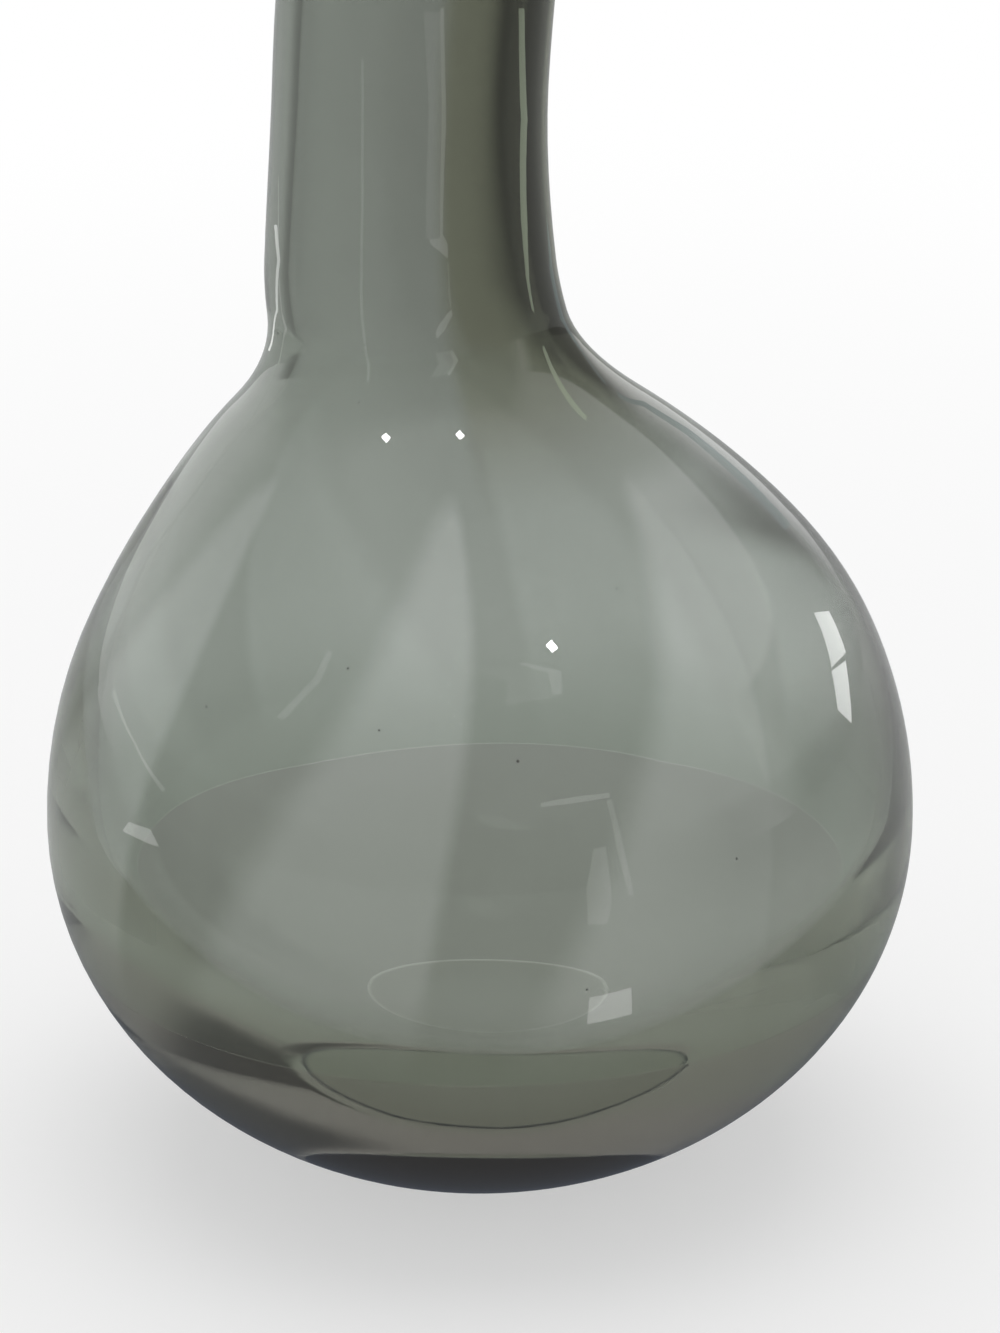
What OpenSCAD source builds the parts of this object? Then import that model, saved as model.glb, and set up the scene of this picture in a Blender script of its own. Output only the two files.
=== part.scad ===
// Twisted glass vase
// A blown bubble of clear glass, cased in smoke glass and stood on a heel of extra glass.
// The neck leaves the globe off its middle and winds round the globe's axis as it rises.
// The bubble was blown into a ribbed mould and twisted, so the smoke glass over it lies thin
// on its crests and shows soft swirls.

/* [Globe] */
// Widest outside diameter of the globe
belly_d = 160; // [140:2:200]
// Height of the widest place above the table
belly_z = 64; // [56:1:76]
// Rise from the widest place to where the globe's round would close
crown_rise = 83.5; // [76:0.5:96]
// Outside diameter of the foot, where the globe's round meets the table
foot_d = 56; // [44:1:64]

/* [Neck] */
// Height of the whole vase
vase_h = 300; // [260:5:360]
// Outside diameter of the neck where it leaves the globe
neck_foot_d = 57; // [50:0.5:62]
// Outside diameter along the rest of the neck
neck_d = 48; // [42:0.5:54]
// How far the neck's centre line runs from the globe's axis
neck_set = 12.4; // [0:0.2:16]
// Height at which the neck lies straight to the left of the axis
neck_left_z = 180; // [165:1:200]
// Height that the neck would need for one whole turn round the axis
neck_pitch = 450; // [300:10:900]
// Width of the soft round between globe and neck
neck_blend = 34; // [24:1:44]
// Outside diameter of the flared lip
lip_d = 57; // [50:0.5:66]
// Length of neck over which the lip flares
flare_h = 40; // [20:1:60]

/* [Wall] */
// Mean wall beside the hollow's widest place, both layers together
belly_wall = 5.8; // [5.2:0.1:9]
// Wall over the hollow's crown, measured straight up
crown_wall = 4.5; // [3:0.5:9]
// Wall of the neck
neck_wall = 4.4; // [3.6:0.1:6]
// Glass between the hollow's floor and the table
floor_t = 15; // [14:0.5:24]
// How much higher the hollow's widest place lies than the globe's
hollow_lift = 8; // [4:0.5:9]
// How far the hollow lies to the thin-walled side of the globe
hollow_set = 1.6; // [0:0.2:2]

/* [Clear bubble] */
// Mean thickness of the bubble round the globe, where it was blown out furthest
bubble_t = 1; // [0.8:0.1:1.4]
// Thickness of the bubble in the neck
bubble_neck_t = 2.1; // [1.4:0.1:2.4]
// Thickness of the bubble under the hollow's floor
bubble_floor_t = 2.8; // [1.6:0.1:4]
// Number of ribs round the bubble
ribs = 8; // [5:1:10]
// Height of a rib from its valley to its crest
rib_h = 0.4; // [0.2:0.1:0.8]
// Height that a rib would need for one whole turn
rib_pitch = 900; // [600:50:2400]
// Smoke glass that is turned over the bubble's end at the lip
lip_cover = 7; // [5:0.5:10]

/* [Heel] */
// Height of the heel's edge above the table
heel_h = 44; // [30:1:50]
// Thickness of the heel at its middle, before the hollow in it is ground
heel_t = 7; // [6:0.5:9]
// Thickness of the heel at its edge
heel_edge = 1.2; // [0.8:0.1:2]
// Width of the flat that is ground on the foot ring
ring_w = 5; // [3:0.5:7]
// Softened outer edge of the foot ring
ring_round = 0.8; // [0.4:0.1:1.6]
// Depth of the polished hollow inside the foot ring
pontil_depth = 2.5; // [1.5:0.1:3.5]

/* [Hidden] */

// Hairline between two fused layers, so that each layer stays a solid of its own
seam = 0.05;

// Facets round a layer, a whole number on each rib
rib_sides = 5;
sides = rib_sides * ribs;
// Rings on each stretch of a layer, from the bowl up to the lip
bowl_rings = 9;
crown_rings = 8;
bend_rings = 9;
neck_rings = 11;
lip_rings = 6;
// Rings on the heel and in the hollow under it
heel_rings = 8;
pontil_rings = 4;

// Share of the crown's rise above which its side runs on straight
straight_share = 0.915;
// Share of the way up the crown where the neck's centre line starts to leave the axis
leave_share = 0.44;
// Share of the blend's width by which the round reaches below and above the crown's top
bend_share = 0.625;
// Share of the hollow's radius inside which the ribs fade out on the floor
rib_fade_share = 0.5;
// How quickly the heel thins towards its edge: 1 is evenly, more is sooner
heel_thinning = 1.5;

belly_r = belly_d / 2;
foot_r = foot_d / 2;
hollow_r = belly_r - belly_wall;
hollow_z = belly_z + hollow_lift;
hollow_rise = crown_rise - hollow_lift - crown_wall;
crown_top_z = belly_z + crown_rise;
leave_z = belly_z + leave_share * crown_rise;
bend_z = crown_top_z - bend_share * neck_blend;
neck_z = crown_top_z + bend_share * neck_blend;
lip_half = neck_wall / 2;
lip_z = vase_h - lip_half;
bubble_top_z = vase_h - lip_cover;
ring_r = foot_r - ring_round;
pontil_r = ring_r - ring_w;

// How deep the globe's round would reach below its widest place, were it not cut by the table
belly_drop = belly_z / sqrt(1 - pow(foot_r / belly_r, 2));
// Angles on the globe's round, from its lowest point: the softened edge and the heel's edge
round_angle = acos((belly_z - ring_round) / belly_drop);
heel_angle = acos((belly_z - heel_h) / belly_drop);
seam_angle = asin(seam / belly_r);
// Greatest depth of glass that the heel takes from the whole round
heel_full = heel_t + belly_drop - belly_z;

// The hollow's round between globe and neck is as much wider as the neck's wall is thick
hollow_blend = neck_blend + neck_wall;

// A skin is one face of a layer: [widest radius, its height, drop below it, rise above it,
// depth under the neck's outside, sideways set of the globe, height of the ribs on it,
// width of the round between globe and neck]
outer_skin = [belly_r, belly_z, belly_drop, crown_rise, 0, 0, 0, neck_blend];
hollow_skin = [
    hollow_r, hollow_z, hollow_z - floor_t, hollow_rise, neck_wall, hollow_set, 0, hollow_blend
];
bubble_skin = grown(hollow_skin, bubble_t, bubble_neck_t, bubble_floor_t);
casing_skin = grown(bubble_skin, seam, seam, seam);

// A ribbed skin that lies outside another by a thickness at the side, the neck and the floor
function grown(skin, side, neck, floor) = [
    skin[0] + side, skin[1], skin[2] + floor, skin[3] + side, skin[4] - neck, skin[5], rib_h, skin[7]
];

// Soft step from 0 to 1 as t goes from 0 to 1
function soft_step(t) = let (s = min(max(t, 0), 1)) s * s * (3 - 2 * s);

// The larger of two radii, rounded over the width k where they are close
function soft_max(a, b, k) = max(a, b) + pow(max(k - abs(a - b), 0), 2) / (4 * k);

// Evenly spaced values from a to b, with a left out
function steps(a, b, count) = [for (i = [1:count]) a + (b - a) * i / count];

function reversed(list) = [for (i = [len(list) - 1:-1:0]) list[i]];

// Centre of a level section at height z: a shallow helix, faded in as the neck leaves the globe
function centre(z, set = 0) =
    let (
        fade = soft_step((z - leave_z) / (neck_z - leave_z)),
        turn = 180 + 360 * (z - neck_left_z) / neck_pitch
    )
    [neck_set * fade * cos(turn) + set * (1 - fade), neck_set * fade * sin(turn)];

// Outside radius of the neck at height z
function neck_r(z) =
    let (
        taper = soft_step((z - bend_z) / (neck_z - bend_z + neck_blend)),
        flare = pow(max(z - vase_h + flare_h, 0) / flare_h, 2)
    )
    (neck_foot_d + (neck_d - neck_foot_d) * taper + (lip_d - neck_d) * flare) / 2;

// Radius of a round crown at a rise above its widest place, running on straight near its top
function crown_r(rise, r, crown) =
    let (
        share = min(rise / crown, straight_share),
        slope = r * share / (crown * sqrt(1 - share * share))
    )
    r * sqrt(1 - share * share) - slope * (rise - share * crown);

// Radius of a skin above its widest place
function skin_r(skin, z) =
    soft_max(crown_r(z - skin[1], skin[0], skin[3]), neck_r(z) - skin[4], skin[7]);

// Points of one level section, whose columns follow the twist of the ribs
function ring(r, z, c = [0, 0], rib = 0) = [
    for (i = [0:sides - 1])
        let (
            column = 360 * i / sides,
            fade = soft_step(r / (rib_fade_share * hollow_r)),
            across = r + rib / 2 * fade * cos(column * ribs),
            angle = column + 360 * z / rib_pitch
        )
        [c[0] + across * cos(angle), c[1] + across * sin(angle), z]
];

function skin_ring(skin, z) = ring(skin_r(skin, z), z, centre(z, skin[5]), skin[6]);

// Rings of a skin above its widest place, up to the height top
function upper(skin, top) = [
    for (z = concat(
        steps(skin[1], bend_z, crown_rings),
        steps(bend_z, neck_z, bend_rings),
        steps(neck_z, top, neck_rings)
    ))
        skin_ring(skin, z)
];

// Rings of a skin's bowl at a list of angles above its lowest point
function bowl(skin, angles) = [
    for (angle = angles)
        let (z = skin[1] - skin[2] * cos(angle))
        ring(skin[0] * sin(angle), z, centre(z, skin[5]), skin[6])
];

// Lowest point of a skin
function pole(skin) = [skin[5], 0, skin[1] - skin[2]];

whole_bowl = steps(0, 90, bowl_rings);

// Share of the globe's round that is left inside the heel at an angle, less a gap
function heel_share(angle, gap) =
    let (
        edge = heel_edge / belly_r,
        middle = heel_full / belly_drop
    )
    1 - edge - (middle - edge) * pow(1 - angle / heel_angle, heel_thinning) - gap / belly_r;

// Lowest point and rings of the face between heel and casing
function heel_pole(gap) = [0, 0, belly_z - belly_drop * heel_share(0, gap)];

function heel_face(gap) = [
    for (angle = steps(0, heel_angle, heel_rings))
        let (share = heel_share(angle, gap))
        ring(belly_r * share * sin(angle), belly_z - belly_drop * share * cos(angle))
];

// Round of the lip, from the outside of the neck over to its bore
function lip_round() = [
    for (i = [1:lip_rings - 1])
        let (
            angle = 180 * i / lip_rings,
            r = neck_r(lip_z) - lip_half * (1 - cos(angle))
        )
        ring(r, lip_z + lip_half * sin(angle), centre(lip_z))
];

// A closed solid lofted through rings, from one point on its axis to another
module lofted(start, rings, end) {
    last = len(rings) * sides + 1;
    points = concat([start], [for (r = rings) each r], [end]);
    first_fan = [for (i = [0:sides - 1]) [0, 1 + i, 1 + (i + 1) % sides]];
    walls = [
        for (k = [0:len(rings) - 2], i = [0:sides - 1])
            let (
                a = 1 + k * sides + i,
                b = 1 + k * sides + (i + 1) % sides
            )
            each [[a, a + sides, b + sides], [a, b + sides, b]]
    ];
    last_fan = [for (i = [0:sides - 1]) [last, last - sides + (i + 1) % sides, last - sides + i]];
    polyhedron(points = points, faces = concat(first_fan, walls, last_fan));
}

// Inner layer: a bubble of clear glass, ribbed outside and smooth in the hollow
module clear_bubble() {
    top = bubble_top_z - seam;
    color([0.75, 0.8, 0.77])
        lofted(
            pole(bubble_skin),
            concat(
                bowl(bubble_skin, whole_bowl),
                upper(bubble_skin, top),
                reversed(upper(hollow_skin, top)),
                reversed(bowl(hollow_skin, whole_bowl))
            ),
            pole(hollow_skin)
        );
}

// Outer layer: smoke glass over the whole bubble, turned in over its end at the lip
module smoke_casing() {
    side = concat([0], steps(0, 1, heel_rings));
    above_heel = [for (t = side) heel_angle + seam_angle + (90 - heel_angle - seam_angle) * t];
    color([0.42, 0.47, 0.43])
        lofted(
            heel_pole(seam),
            concat(
                heel_face(seam),
                bowl(outer_skin, above_heel),
                upper(outer_skin, lip_z),
                lip_round(),
                [skin_ring(hollow_skin, lip_z), skin_ring(hollow_skin, bubble_top_z)],
                reversed(upper(casing_skin, bubble_top_z)),
                reversed(bowl(casing_skin, whole_bowl))
            ),
            pole(casing_skin)
        );
}

// Foot: extra glass gathered under the globe, ground to a flat ring round a polished hollow
module base_heel() {
    hollow = [
        for (r = steps(0, pontil_r, pontil_rings))
            ring(r, pontil_depth * (1 - pow(r / pontil_r, 2)))
    ];
    outside = concat([round_angle], steps(round_angle, heel_angle, heel_rings));
    color([0.3, 0.34, 0.36])
        lofted(
            [0, 0, pontil_depth],
            concat(
                hollow,
                [ring(ring_r, 0)],
                bowl(outer_skin, outside),
                reversed(heel_face(0))
            ),
            heel_pole(0)
        );
}

clear_bubble();
smoke_casing();
base_heel();
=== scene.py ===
"""Twisted glass vase, dressed on its construction frame.

Three gathers of blown glass are fused where they touch: a clear bubble with twisted ribs, a casing of
smoke glass over it, and a heel of extra glass under the globe. Sizes are in millimetres, as in the
part's source, and become metres where a mesh is made.
"""

import logging
import math
from dataclasses import dataclass
from enum import Enum
from typing import Any, Callable, Iterable, Sequence

import bmesh
import bpy
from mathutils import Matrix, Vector


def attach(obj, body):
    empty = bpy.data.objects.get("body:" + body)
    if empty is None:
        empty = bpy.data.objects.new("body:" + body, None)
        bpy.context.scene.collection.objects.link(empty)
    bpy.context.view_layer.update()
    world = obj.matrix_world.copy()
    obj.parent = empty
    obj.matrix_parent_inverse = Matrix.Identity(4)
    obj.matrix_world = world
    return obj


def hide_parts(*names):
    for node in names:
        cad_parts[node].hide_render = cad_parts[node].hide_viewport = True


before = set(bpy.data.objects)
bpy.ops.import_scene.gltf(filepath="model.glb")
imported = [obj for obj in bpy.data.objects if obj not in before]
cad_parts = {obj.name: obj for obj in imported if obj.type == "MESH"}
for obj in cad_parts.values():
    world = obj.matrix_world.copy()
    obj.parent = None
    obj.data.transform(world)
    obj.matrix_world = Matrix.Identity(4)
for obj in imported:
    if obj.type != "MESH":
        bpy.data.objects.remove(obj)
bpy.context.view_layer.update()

MM = 0.001
log = logging.getLogger("vase")

Place = tuple[float, float, float]
Colour = tuple[float, float, float]
Rung = tuple[Place, Place]
Span = tuple[float, float]
WHITE: Colour = (1.0, 1.0, 1.0)
RINGS = 24
BOWL_RINGS = 36
BOWL_CAP = 0.04
HEEL_CAP = 0.03


# Form of the glass


def soft_step(t: float) -> float:
    """Eases from 0 to 1 as t goes from 0 to 1."""
    s = min(max(t, 0.0), 1.0)
    return s * s * (3.0 - 2.0 * s)


def soft_max(a: float, b: float, width: float) -> float:
    """Takes the larger of two radii, rounded where they are close."""
    return max(a, b) + max(width - abs(a - b), 0.0) ** 2 / (4.0 * width)


def steps(start: float, end: float, count: int) -> list[float]:
    """Spaces values evenly, with the start left out."""
    return [start + (end - start) * i / count for i in range(1, count + 1)]


def spaced(first: float, last: float, count: int) -> list[float]:
    """Spaces values evenly, with the first and the last among them."""
    return [first] + steps(first, last, count)


@dataclass(frozen=True)
class Section:
    """A level section of a skin: its mean radius, height, centre, and the height of the ribs on it."""

    radius: float
    height: float
    centre: Span = (0.0, 0.0)
    rib: float = 0.0


@dataclass(frozen=True)
class Skin:
    """One face of a layer: the globe's round, the blend into the neck, how it is set, and its ribs."""

    radius: float
    widest: float
    drop: float
    rise: float
    blend: float
    inset: float = 0.0
    sideways: float = 0.0
    rib: float = 0.0

    def grown(self, side: float, neck: float, floor: float, rib: float) -> "Skin":
        """Moves the skin outwards by thicknesses of glass."""
        return Skin(
            self.radius + side, self.widest, self.drop + floor, self.rise + side, self.blend,
            self.inset - neck, self.sideways, rib,
        )


@dataclass(frozen=True)
class VaseForm:
    """Sizes of the whole vase and the curves that its layers share."""

    belly_d: float = 160.0
    belly_z: float = 64.0
    crown_rise: float = 83.5
    foot_d: float = 56.0
    vase_h: float = 300.0
    neck_foot_d: float = 57.0
    neck_d: float = 48.0
    neck_set: float = 12.4
    neck_left_z: float = 180.0
    neck_pitch: float = 450.0
    neck_blend: float = 34.0
    lip_d: float = 57.0
    flare_h: float = 40.0
    belly_wall: float = 5.8
    crown_wall: float = 4.5
    neck_wall: float = 4.4
    floor_t: float = 15.0
    hollow_lift: float = 8.0
    hollow_set: float = 1.6
    bubble_t: float = 1.0
    bubble_neck_t: float = 2.1
    bubble_floor_t: float = 2.8
    ribs: int = 8
    rib_h: float = 0.4
    rib_pitch: float = 900.0
    lip_cover: float = 7.0
    heel_h: float = 44.0
    heel_t: float = 7.0
    heel_edge: float = 1.2
    ring_w: float = 5.0
    ring_round: float = 0.8
    pontil_depth: float = 2.5
    seam: float = 0.05
    straight_share: float = 0.915
    leave_share: float = 0.44
    bend_share: float = 0.625
    rib_fade_share: float = 0.5
    heel_thinning: float = 1.5

    @property
    def belly_r(self) -> float:
        """Widest outside radius."""
        return self.belly_d / 2.0

    @property
    def crown_top_z(self) -> float:
        """Height at which the globe's round would close."""
        return self.belly_z + self.crown_rise

    @property
    def leave_z(self) -> float:
        """Height at which the neck's centre line starts to leave the axis."""
        return self.belly_z + self.leave_share * self.crown_rise

    @property
    def bend_z(self) -> float:
        """Lower end of the soft round between globe and neck."""
        return self.crown_top_z - self.bend_share * self.neck_blend

    @property
    def neck_z(self) -> float:
        """Upper end of the soft round between globe and neck."""
        return self.crown_top_z + self.bend_share * self.neck_blend

    @property
    def lip_half(self) -> float:
        """Half the thickness of the lip."""
        return self.neck_wall / 2.0

    @property
    def lip_z(self) -> float:
        """Height at which the lip's round starts."""
        return self.vase_h - self.lip_half

    @property
    def bubble_top_z(self) -> float:
        """Height at which the casing turns in over the bubble's end."""
        return self.vase_h - self.lip_cover

    @property
    def ring_r(self) -> float:
        """Outer radius of the foot ring's flat."""
        return self.foot_d / 2.0 - self.ring_round

    @property
    def pontil_r(self) -> float:
        """Radius of the polished hollow inside the foot ring."""
        return self.ring_r - self.ring_w

    @property
    def belly_drop(self) -> float:
        """Depth of the globe's round below its widest place, were it not cut by the table."""
        return self.belly_z / math.sqrt(1.0 - (self.foot_d / self.belly_d) ** 2)

    @property
    def heel_angle(self) -> float:
        """Angle of the heel's edge above the globe's lowest point."""
        return math.acos((self.belly_z - self.heel_h) / self.belly_drop)

    @property
    def round_angle(self) -> float:
        """Angle at which the foot ring's softened edge meets the globe's round."""
        return math.acos((self.belly_z - self.ring_round) / self.belly_drop)

    @property
    def outer_skin(self) -> Skin:
        """Outside of the vase."""
        return Skin(self.belly_r, self.belly_z, self.belly_drop, self.crown_rise, self.neck_blend)

    @property
    def hollow_skin(self) -> Skin:
        """Inside of the vase."""
        widest = self.belly_z + self.hollow_lift
        return Skin(
            self.belly_r - self.belly_wall, widest, widest - self.floor_t,
            self.crown_rise - self.hollow_lift - self.crown_wall, self.neck_blend + self.neck_wall,
            self.neck_wall, self.hollow_set,
        )

    @property
    def bubble_skin(self) -> Skin:
        """Ribbed outside of the bubble."""
        return self.hollow_skin.grown(self.bubble_t, self.bubble_neck_t, self.bubble_floor_t, self.rib_h)

    @property
    def casing_skin(self) -> Skin:
        """Inside of the casing, a hairline outside the bubble."""
        return self.bubble_skin.grown(self.seam, self.seam, self.seam, self.rib_h)

    def centre(self, z: float, sideways: float = 0.0) -> Span:
        """Places a level section: a shallow helix, faded in as the neck leaves the globe.

        Args:
            z: Height of the section.
            sideways: Set of the globe's sections.

        Returns:
            The section's centre.
        """
        fade = soft_step((z - self.leave_z) / (self.neck_z - self.leave_z))
        turn = math.pi + math.tau * (z - self.neck_left_z) / self.neck_pitch
        across = self.neck_set * fade
        return across * math.cos(turn) + sideways * (1.0 - fade), across * math.sin(turn)

    def neck_r(self, z: float) -> float:
        """Gives the neck's outside radius.

        Args:
            z: Height.

        Returns:
            The radius.
        """
        taper = soft_step((z - self.bend_z) / (self.neck_z - self.bend_z + self.neck_blend))
        flare = (max(z - self.vase_h + self.flare_h, 0.0) / self.flare_h) ** 2
        wide = self.neck_foot_d + (self.neck_d - self.neck_foot_d) * taper
        return (wide + (self.lip_d - self.neck_d) * flare) / 2.0

    def skin_r(self, skin: Skin, z: float) -> float:
        """Gives a skin's radius above its widest place.

        Args:
            skin: The skin.
            z: Height.

        Returns:
            The radius, rounded from the globe's crown into the neck.
        """
        share = min((z - skin.widest) / skin.rise, self.straight_share)
        flat = math.sqrt(1.0 - share * share)
        slope = skin.radius * share / (skin.rise * flat)
        crown = skin.radius * flat - slope * (z - skin.widest - share * skin.rise)
        return soft_max(crown, self.neck_r(z) - skin.inset, skin.blend)

    def section(self, skin: Skin, z: float) -> Section:
        """Cuts a skin above its widest place."""
        return Section(self.skin_r(skin, z), z, self.centre(z, skin.sideways), skin.rib)

    def bowl(self, skin: Skin, angles: Iterable[float]) -> list[Section]:
        """Cuts a skin's bowl.

        Args:
            skin: The skin.
            angles: Angles above its lowest point.

        Returns:
            The sections, from the lowest angle on.
        """
        cuts = []
        for angle in angles:
            radius = skin.radius * math.sin(angle)
            height = skin.widest - skin.drop * math.cos(angle)
            fade = soft_step(radius / (self.rib_fade_share * self.hollow_skin.radius))
            cuts.append(Section(radius, height, self.centre(height, skin.sideways), skin.rib * fade))
        return cuts

    def upper(self, skin: Skin, top: float) -> list[Section]:
        """Cuts a skin from its widest place up.

        Args:
            skin: The skin.
            top: Height of the last section.

        Returns:
            The sections, from the lowest up.
        """
        heights = steps(skin.widest, self.bend_z, RINGS)
        heights += steps(self.bend_z, self.neck_z, RINGS)
        heights += steps(self.neck_z, top, RINGS)
        return [self.section(skin, z) for z in heights]

    def heel_share(self, angle: float, gap: float) -> float:
        """Gives the share of the globe's round that is left inside the heel.

        Args:
            angle: Angle above the globe's lowest point.
            gap: Hairline that is left free.

        Returns:
            The share.
        """
        edge = self.heel_edge / self.belly_r
        middle = (self.heel_t + self.belly_drop - self.belly_z) / self.belly_drop
        bulk = (middle - edge) * (1.0 - angle / self.heel_angle) ** self.heel_thinning
        return 1.0 - edge - bulk - gap / self.belly_r

    def heel_face(self, gap: float) -> list[Section]:
        """Cuts the face between heel and casing.

        Args:
            gap: Hairline that is left free.

        Returns:
            The sections, from the middle out.
        """
        cuts = []
        for angle in spaced(HEEL_CAP, self.heel_angle, RINGS):
            share = self.heel_share(angle, gap)
            height = self.belly_z - self.belly_drop * share * math.cos(angle)
            cuts.append(Section(self.belly_r * share * math.sin(angle), height))
        return cuts


WHOLE_BOWL = spaced(BOWL_CAP, math.pi / 2.0, BOWL_RINGS)


class Joint(Enum):
    """What a stretch of a layer's face touches."""

    OPEN = 0.0
    FUSED = 1.0


class Gather:
    """A closed body of glass, drawn section by section in edit mode, as it is on the pipe."""

    columns = 48
    smooth_levels = 1
    sharp_angle = math.radians(50.0)
    least_turn = 1e-9
    least_rise = 1e-7

    def __init__(self, name: str, form: VaseForm, pole: float, first: Section, joint: Joint) -> None:
        """Starts the body as a small round cap.

        Args:
            name: Name of the piece.
            form: Form of the vase, for the ribs' twist.
            pole: Height of the cap's middle.
            first: Section at the cap's rim.
            joint: What the cap touches.
        """
        self.form = form
        # Smoothing draws a ring in, so the first one, from which all others follow, is that much wider.
        self.spread = 1.0 / (1.0 - (1.0 - math.cos(math.tau / self.columns)) / 3.0)
        self.last = Section(first.radius, first.height, first.centre)
        self.turned_for = 0.0
        bpy.ops.object.select_all(action="DESELECT")
        bpy.ops.mesh.primitive_circle_add(
            vertices=self.columns, radius=first.radius * self.spread * MM, fill_type="TRIFAN",
            location=self.spot(first), enter_editmode=False,
        )
        self.piece = bpy.context.active_object
        self.piece.name = name
        self.piece.data.name = name
        bpy.ops.object.transform_apply(location=True, rotation=True, scale=True)
        bpy.ops.object.mode_set(mode="EDIT")
        mesh = self.mesh()
        mesh.faces.layers.float.new("fused")
        self.mark_faces(joint)
        self.pick(lambda v: len(v.link_edges) == self.columns)
        bpy.ops.transform.translate(value=(0.0, 0.0, (pole - first.height) * MM))
        bpy.ops.mesh.select_all(action="DESELECT")
        bpy.ops.mesh.select_non_manifold(
            extend=False, use_wire=False, use_boundary=True, use_multi_face=False,
            use_non_contiguous=False, use_verts=False,
        )
        self.twist(first)
        self.raise_ribs(first)

    def mesh(self) -> bmesh.types.BMesh:
        """The mesh in edit mode."""
        return bmesh.from_edit_mesh(self.piece.data)

    def spot(self, section: Section) -> Place:
        """Centre of a section, in metres."""
        return section.centre[0] * MM, section.centre[1] * MM, section.height * MM

    def pick(self, wanted: Callable[[bmesh.types.BMVert], bool]) -> None:
        """Selects points and nothing else.

        Args:
            wanted: Tells whether a point is taken.
        """
        bpy.ops.mesh.select_all(action="DESELECT")
        mesh = self.mesh()
        for point in mesh.verts:
            point.select_set(wanted(point))
        mesh.select_flush_mode()
        bmesh.update_edit_mesh(self.piece.data)

    def mark_faces(self, joint: Joint) -> None:
        """Notes on the faces beside the selected edges what they touch.

        Args:
            joint: What they touch.
        """
        mesh = self.mesh()
        layer = mesh.faces.layers.float["fused"]
        for edge in mesh.edges:
            if edge.select:
                for face in edge.link_faces:
                    face[layer] = joint.value

    def twist(self, section: Section) -> None:
        """Turns the selected ring to the place that the ribs' twist gives it.

        Args:
            section: The section that the ring has become.
        """
        lead = math.tau * (section.height - self.turned_for) / self.form.rib_pitch
        if abs(lead) > self.least_turn:
            bpy.ops.transform.rotate(
                value=-lead, orient_axis="Z", orient_type="GLOBAL", center_override=self.spot(section)
            )
        self.turned_for = section.height

    def raise_ribs(self, section: Section) -> None:
        """Moves the columns of the selected ring in and out, to the ribs' crests and valleys.

        Args:
            section: The section that the ring has become.
        """
        before = self.last.rib / 2.0 / self.last.radius
        after = section.rib / 2.0 / section.radius
        if abs(after - before) < self.least_rise:
            return
        centre = Vector(self.spot(section))
        turned = math.tau * self.turned_for / self.form.rib_pitch
        mesh = self.mesh()
        ring = {v.index: v.co - centre for v in mesh.verts if v.select}
        crests = {
            index: math.cos(self.form.ribs * (math.atan2(place.y, place.x) - turned))
            for index, place in ring.items()
        }
        for level in sorted({round(c, 1) for c in crests.values()}):
            self.pick(lambda v: v.index in crests and round(crests[v.index], 1) == level)
            size = (1.0 + after * level) / (1.0 + before * level)
            bpy.ops.transform.resize(value=(size, size, 1.0), center_override=centre)
        self.pick(lambda v: v.index in crests)

    def draw(self, section: Section, joint: Joint = Joint.OPEN, corner: bool = False) -> None:
        """Draws the body on to a next section.

        Args:
            section: The next section.
            joint: What the new band of face touches.
            corner: Whether the new ring stays sharp.
        """
        old = Vector(self.spot(self.last))
        new = Vector(self.spot(section))
        bpy.ops.mesh.extrude_edges_move(TRANSFORM_OT_translate={"value": new - old})
        self.mark_faces(joint)
        size = section.radius / self.last.radius
        bpy.ops.transform.resize(value=(size, size, 1.0), center_override=new)
        self.twist(section)
        self.raise_ribs(section)
        if corner:
            bpy.ops.transform.edge_crease(value=1.0)
        self.last = section

    def draw_all(
        self, sections: Sequence[Section], joint: Joint = Joint.OPEN, corner: bool = False
    ) -> None:
        """Draws the body on through several sections.

        Args:
            sections: The sections in order.
            joint: What the new bands of face touch.
            corner: Whether the last ring stays sharp.
        """
        for section in sections[:-1]:
            self.draw(section, joint)
        self.draw(sections[-1], joint, corner)

    def close(self, pole: float, joint: Joint) -> bpy.types.Object:
        """Closes the body to a point on its axis and fire-polishes it smooth.

        Args:
            pole: Height of the point.
            joint: What the last cap touches.

        Returns:
            The finished piece.
        """
        lift = Vector((0.0, 0.0, (pole - self.last.height) * MM))
        bpy.ops.mesh.extrude_edges_move(TRANSFORM_OT_translate={"value": lift})
        self.mark_faces(joint)
        bpy.ops.mesh.merge(type="CENTER")
        bpy.ops.mesh.select_all(action="SELECT")
        bpy.ops.mesh.normals_make_consistent(inside=False)
        bpy.ops.object.mode_set(mode="OBJECT")
        smooth = self.piece.modifiers.new("fire polish", "SUBSURF")
        smooth.levels = self.smooth_levels
        smooth.render_levels = self.smooth_levels
        bpy.ops.object.modifier_apply(modifier=smooth.name)
        bpy.ops.object.shade_smooth_by_angle(angle=self.sharp_angle)
        return self.piece


# Shader maths


def solid(colour: Sequence[float]) -> tuple[float, ...]:
    """Adds the full alpha that a colour socket takes."""
    return (*colour, 1.0)


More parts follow.
